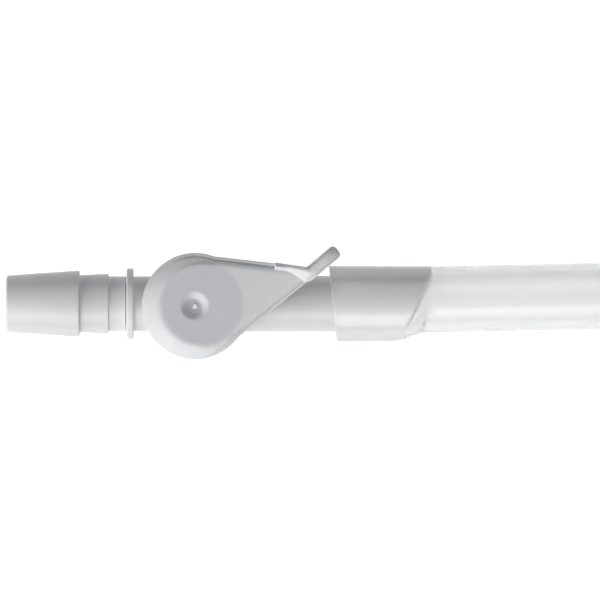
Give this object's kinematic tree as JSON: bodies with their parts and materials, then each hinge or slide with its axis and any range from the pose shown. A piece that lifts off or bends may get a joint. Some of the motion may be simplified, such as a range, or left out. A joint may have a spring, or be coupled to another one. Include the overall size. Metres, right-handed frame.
{
  "type": "saliva ejector tip",
  "caption": "Dental saliva ejector tip: stepped hose connector, lever-operated on/off plug valve, nose pipe, flexible suction tube and slotted suction head.",
  "frame": {"origin": "on the valve's turning axis, in the middle of the back cap's flat face, which the part rests on", "axes": "+X from the hose connector towards the mouth end along the suction tube, +Z out of the lever's face along the turning axis, +Y to the side that the lever's thumb tab is on"},
  "size_m": [0.2114, 0.017, 0.0164],
  "materials": {
    "white_plastic": "glossy moulded white polypropylene",
    "lever_plastic": "glossy moulded white polypropylene, slightly cooler",
    "seal_rubber": "matt black rubber",
    "clear_tube": "frosted clear soft PVC"
  },
  "bodies": {
    "valve": {"valve_body": "white_plastic", "back_cap": "white_plastic", "tail_o_ring": "seal_rubber", "suction_tube": "clear_tube", "suction_head": "white_plastic"},
    "lever": {"lever": "lever_plastic", "rotor": "white_plastic", "rotor_o_ring_front": "seal_rubber", "rotor_o_ring_back": "seal_rubber"},
    "tail": {"tail_connector": "white_plastic"}
  },
  "joints": [
    {"name": "lever_turn", "type": "hinge", "parent": "valve", "child": "lever", "pos_m": [0, 0, 0.0062], "axis": [0, 0, 1], "range_deg": [0, 75]},
    {"name": "tail_swivel", "type": "hinge", "parent": "valve", "child": "tail", "pos_m": [-0.0103, 0.00035, 0.0062], "axis": [1, 0, 0], "continuous": true}
  ]
}
